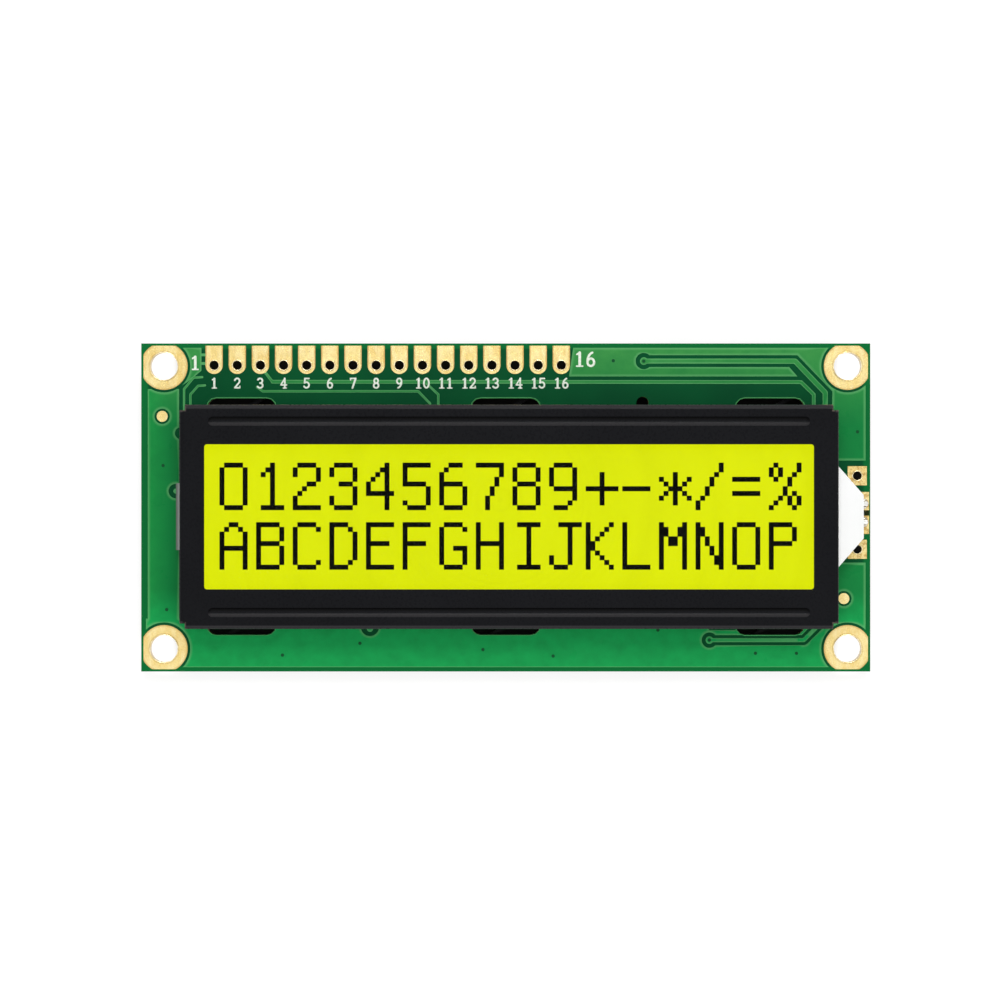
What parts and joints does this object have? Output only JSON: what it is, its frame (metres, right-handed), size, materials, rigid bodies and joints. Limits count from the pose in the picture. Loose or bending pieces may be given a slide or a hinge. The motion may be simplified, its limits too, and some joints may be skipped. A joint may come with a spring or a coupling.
{
  "type": "character lcd module",
  "caption": "Flat green circuit board that carries a black steel bezel with a lit yellow-green character display, gold-plated holes along one edge and a hole in each corner.",
  "frame": {"origin": "centre of the four mounting holes, on the board's rear face", "axes": "+Z is the way the display faces, +X runs along the text to its end, +Y points to the header row"},
  "size_m": [0.08, 0.036, 0.0103],
  "materials": {
    "board_green": "gloss",
    "plated_gold": "satin",
    "black_steel": "satin",
    "polarizer_film": "satin",
    "cell_glass": "gloss",
    "seal_glue": "matte",
    "crystal": "gloss",
    "elastomer": "matte",
    "white_plastic": "satin",
    "clear_acrylic": "gloss",
    "white_film": "satin",
    "lamp_body": "satin",
    "tin": "satin",
    "silicon": "polished",
    "black_epoxy": "satin",
    "resistor_body": "satin",
    "capacitor_body": "matte"
  },
  "bodies": {
    "root": {"circuit_board": "board_green", "mounting_lands": "plated_gold", "header_lands": "plated_gold", "terminal_lands": "plated_gold", "lamp_lands": "plated_gold", "fiducials": "plated_gold", "contact_fingers": "plated_gold", "bezel": "black_steel", "front_polarizer": "polarizer_film", "front_glass": "cell_glass", "cell_seal": "seal_glue", "liquid_crystal": "crystal", "rear_glass": "cell_glass", "rear_polarizer": "polarizer_film", "upper_contact_strip": "elastomer", "lower_contact_strip": "elastomer", "backlight_housing": "white_plastic", "diffuser_film": "white_film", "light_guide": "clear_acrylic", "reflector_film": "white_film", "backlight_lamp": "lamp_body", "lamp_leads": "tin", "lamp_solder": "tin", "controller_chip": "silicon", "controller_epoxy": "black_epoxy", "driver_chip": "silicon", "driver_epoxy": "black_epoxy", "bias_resistors": "resistor_body", "oscillator_resistor": "resistor_body", "backlight_resistor": "resistor_body", "capacitors": "capacitor_body"}
  },
  "joints": []
}
